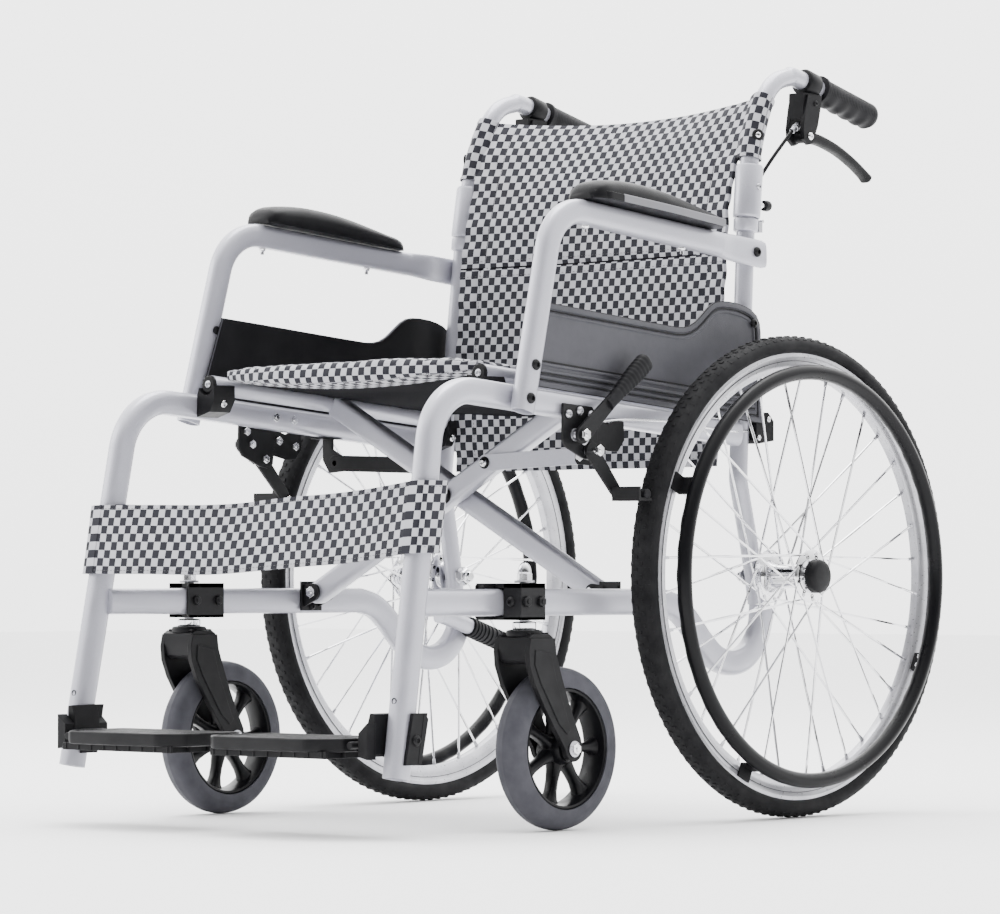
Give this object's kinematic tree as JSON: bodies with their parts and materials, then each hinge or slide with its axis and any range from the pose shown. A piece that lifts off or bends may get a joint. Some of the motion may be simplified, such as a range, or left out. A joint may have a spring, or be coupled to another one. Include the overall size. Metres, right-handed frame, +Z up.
{
  "type": "folding wheelchair",
  "caption": "Folding manual wheelchair with large spoked rear wheels and handrims, swivel casters, padded armrests, fold-down push handles with brake levers, and a sling seat and back.",
  "frame": {"origin": "centre of the chair's bounding box, on the floor", "axes": "+Z up, +Y towards the rear (the chair faces -Y), +X towards the occupant's left"},
  "size_m": [0.675, 0.98, 0.891],
  "materials": {
    "frame_paint": "pearl silver-white gloss",
    "arm_pad": "black grained upholstery",
    "panel": "dark grey, fine texture",
    "tyre": "black tread",
    "caster_tyre": "mid grey solid tyre",
    "wheel": "satin rim, bright spokes",
    "handrim": "gloss black",
    "chrome": "bright plated",
    "black_metal": "satin black",
    "black_plastic": "satin black",
    "caster_plastic": "gloss black",
    "grip": "black moulded grip",
    "fabric": "black and light grey checked weave"
  },
  "bodies": {
    "frame_right": {"side_tube_right": "frame_paint", "rear_post_right": "frame_paint", "lower_rail_right": "frame_paint", "arm_tube_right": "frame_paint", "arm_pad_right": "arm_pad", "side_panel_right": "panel", "axle_right": "chrome", "caster_housing_right": "black_metal", "foot_clamp_right": "black_plastic", "link_bracket_right": "black_metal", "brake_mount_right": "black_metal", "brace_clamp_right": "black_metal", "tipping_lever": "black_plastic", "back_lower": "fabric", "calf_strap": "fabric"},
    "frame_left": {"side_tube_left": "frame_paint", "rear_post_left": "frame_paint", "lower_rail_left": "frame_paint", "arm_tube_left": "frame_paint", "arm_pad_left": "arm_pad", "side_panel_left": "panel", "axle_left": "chrome", "caster_housing_left": "black_metal", "foot_clamp_left": "black_plastic", "link_bracket_left": "black_metal", "brake_mount_left": "black_metal", "brace_clamp_left": "black_metal"},
    "brace_a": {"brace_a": "frame_paint", "brace_bolt": "black_metal"},
    "brace_b": {"brace_b": "frame_paint"},
    "seat": {"seat": "fabric"},
    "link_right": {"link_right": "frame_paint"},
    "wheel_right": {"tyre_right": "tyre", "wheel_right": "wheel", "handrim_right": "handrim"},
    "caster_fork_right": {"caster_fork_right": "black_plastic"},
    "caster_wheel_right": {"caster_hub_right": "caster_plastic", "caster_tyre_right": "caster_tyre"},
    "footplate_right": {"footplate_right": "black_plastic"},
    "brake_lever_right": {"brake_lever_right": "black_plastic"},
    "brake_shoe_right": {"brake_shoe_right": "black_metal"},
    "back_right": {"cane_right": "frame_paint", "grip_right": "grip", "hand_brake_right": "black_plastic", "back_upper": "fabric"},
    "hand_lever_right": {"hand_lever_right": "black_plastic"},
    "link_left": {"link_left": "frame_paint"},
    "wheel_left": {"tyre_left": "tyre", "wheel_left": "wheel", "handrim_left": "handrim"},
    "caster_fork_left": {"caster_fork_left": "black_plastic"},
    "caster_wheel_left": {"caster_hub_left": "caster_plastic", "caster_tyre_left": "caster_tyre"},
    "footplate_left": {"footplate_left": "black_plastic"},
    "brake_lever_left": {"brake_lever_left": "black_plastic"},
    "brake_shoe_left": {"brake_shoe_left": "black_metal"},
    "back_left": {"cane_left": "frame_paint", "grip_left": "grip", "hand_brake_left": "black_plastic"},
    "hand_lever_left": {"hand_lever_left": "black_plastic"}
  },
  "joints": [
    {"name": "fold", "type": "hinge", "parent": "frame_right", "child": "brace_a", "pos_m": [-0.21, -0.0615, 0.261], "axis": [0, -1, 0], "range_deg": [0, 44], "deforming": ["seat", "back_lower", "back_upper", "calf_strap"]},
    {"name": "brace_cross", "type": "hinge", "parent": "brace_a", "child": "brace_b", "pos_m": [0, -0.05, 0.374], "axis": [0, -1, 0], "range_deg": [-90, 2]},
    {"name": "left_frame_level", "type": "hinge", "parent": "brace_b", "child": "frame_left", "pos_m": [0.21, -0.0385, 0.261], "axis": [0, -1, 0], "range_deg": [-1, 45]},
    {"name": "seat_level", "type": "hinge", "parent": "brace_b", "child": "seat", "pos_m": [-0.2125, -0.04, 0.4875], "axis": [0, -1, 0], "range_deg": [-1, 45]},
    {"name": "link_right_turn", "type": "hinge", "parent": "frame_right", "child": "link_right", "pos_m": [-0.22, -0.0255, 0.416], "axis": [0, -1, 0], "range_deg": [-1, 70.74]},
    {"name": "link_left_turn", "type": "hinge", "parent": "frame_left", "child": "link_left", "pos_m": [0.22, -0.0745, 0.416], "axis": [0, 1, 0], "range_deg": [-1, 70.74]},
    {"name": "footplate_right_flip", "type": "hinge", "parent": "frame_right", "child": "footplate_right", "pos_m": [-0.2208, -0.43, 0.1], "axis": [0, -1, 0], "range_deg": [-1, 91]},
    {"name": "footplate_left_flip", "type": "hinge", "parent": "frame_left", "child": "footplate_left", "pos_m": [0.2208, -0.43, 0.1], "axis": [0, 1, 0], "range_deg": [-1, 91]},
    {"name": "wheel_right_spin", "type": "hinge", "parent": "frame_right", "child": "wheel_right", "pos_m": [-0.2927, 0.21, 0.28], "axis": [1, 0, 0], "continuous": true},
    {"name": "caster_right_swivel", "type": "hinge", "parent": "frame_right", "child": "caster_fork_right", "pos_m": [-0.2635, -0.227, 0.251], "axis": [0, 0, 1], "continuous": true},
    {"name": "caster_right_roll", "type": "hinge", "parent": "caster_fork_right", "child": "caster_wheel_right", "pos_m": [-0.2635, -0.174, 0.09], "axis": [1, 0, 0], "continuous": true},
    {"name": "brake_right_lever", "type": "hinge", "parent": "frame_right", "child": "brake_lever_right", "pos_m": [-0.268, -0.135, 0.437], "axis": [1, 0, 0], "range_deg": [0, 60]},
    {"name": "brake_right_shoe", "type": "hinge", "parent": "frame_right", "child": "brake_shoe_right", "pos_m": [-0.261, -0.112, 0.42], "axis": [1, 0, 0], "range_deg": [-1, 14]},
    {"name": "wheel_left_spin", "type": "hinge", "parent": "frame_left", "child": "wheel_left", "pos_m": [0.2927, 0.21, 0.28], "axis": [1, 0, 0], "continuous": true},
    {"name": "caster_left_swivel", "type": "hinge", "parent": "frame_left", "child": "caster_fork_left", "pos_m": [0.2635, -0.227, 0.251], "axis": [0, 0, 1], "continuous": true},
    {"name": "caster_left_roll", "type": "hinge", "parent": "caster_fork_left", "child": "caster_wheel_left", "pos_m": [0.2635, -0.174, 0.09], "axis": [1, 0, 0], "continuous": true},
    {"name": "brake_left_lever", "type": "hinge", "parent": "frame_left", "child": "brake_lever_left", "pos_m": [0.268, -0.135, 0.437], "axis": [1, 0, 0], "range_deg": [0, 60]},
    {"name": "brake_left_shoe", "type": "hinge", "parent": "frame_left", "child": "brake_shoe_left", "pos_m": [0.261, -0.112, 0.42], "axis": [1, 0, 0], "range_deg": [-1, 14]},
    {"name": "back_right_fold", "type": "hinge", "parent": "frame_right", "child": "back_right", "pos_m": [-0.2251, 0.229, 0.7], "axis": [-1, 0, 0], "range_deg": [0, 90]},
    {"name": "back_left_fold", "type": "hinge", "parent": "frame_left", "child": "back_left", "pos_m": [0.2251, 0.229, 0.7], "axis": [-1, 0, 0], "range_deg": [-1, 91]},
    {"name": "hand_lever_right_pull", "type": "hinge", "parent": "back_right", "child": "hand_lever_right", "pos_m": [-0.21955, 0.322, 0.806], "axis": [1, 0, 0], "range_deg": [0, 20], "stiffness_Nm_per_rad": 0.3, "springref_deg": -17.19},
    {"name": "hand_lever_left_pull", "type": "hinge", "parent": "back_left", "child": "hand_lever_left", "pos_m": [0.21955, 0.322, 0.806], "axis": [1, 0, 0], "range_deg": [0, 20], "stiffness_Nm_per_rad": 0.3, "springref_deg": -17.19}
  ],
  "couplings": [
    {"joint": "brace_cross", "follows": "fold", "ratio": -2},
    {"joint": "left_frame_level", "follows": "fold", "ratio": 1},
    {"joint": "seat_level", "follows": "fold", "ratio": 1},
    {"joint": "link_right_turn", "follows": "fold", "ratio": 1.585},
    {"joint": "link_left_turn", "follows": "fold", "ratio": 1.585},
    {"joint": "footplate_right_flip", "follows": "fold", "ratio": 2.0455},
    {"joint": "footplate_left_flip", "follows": "fold", "ratio": 2.0455},
    {"joint": "brake_right_shoe", "follows": "brake_right_lever", "ratio": 0.21},
    {"joint": "brake_left_shoe", "follows": "brake_left_lever", "ratio": 0.21},
    {"joint": "back_left_fold", "follows": "back_right_fold", "ratio": 1}
  ]
}
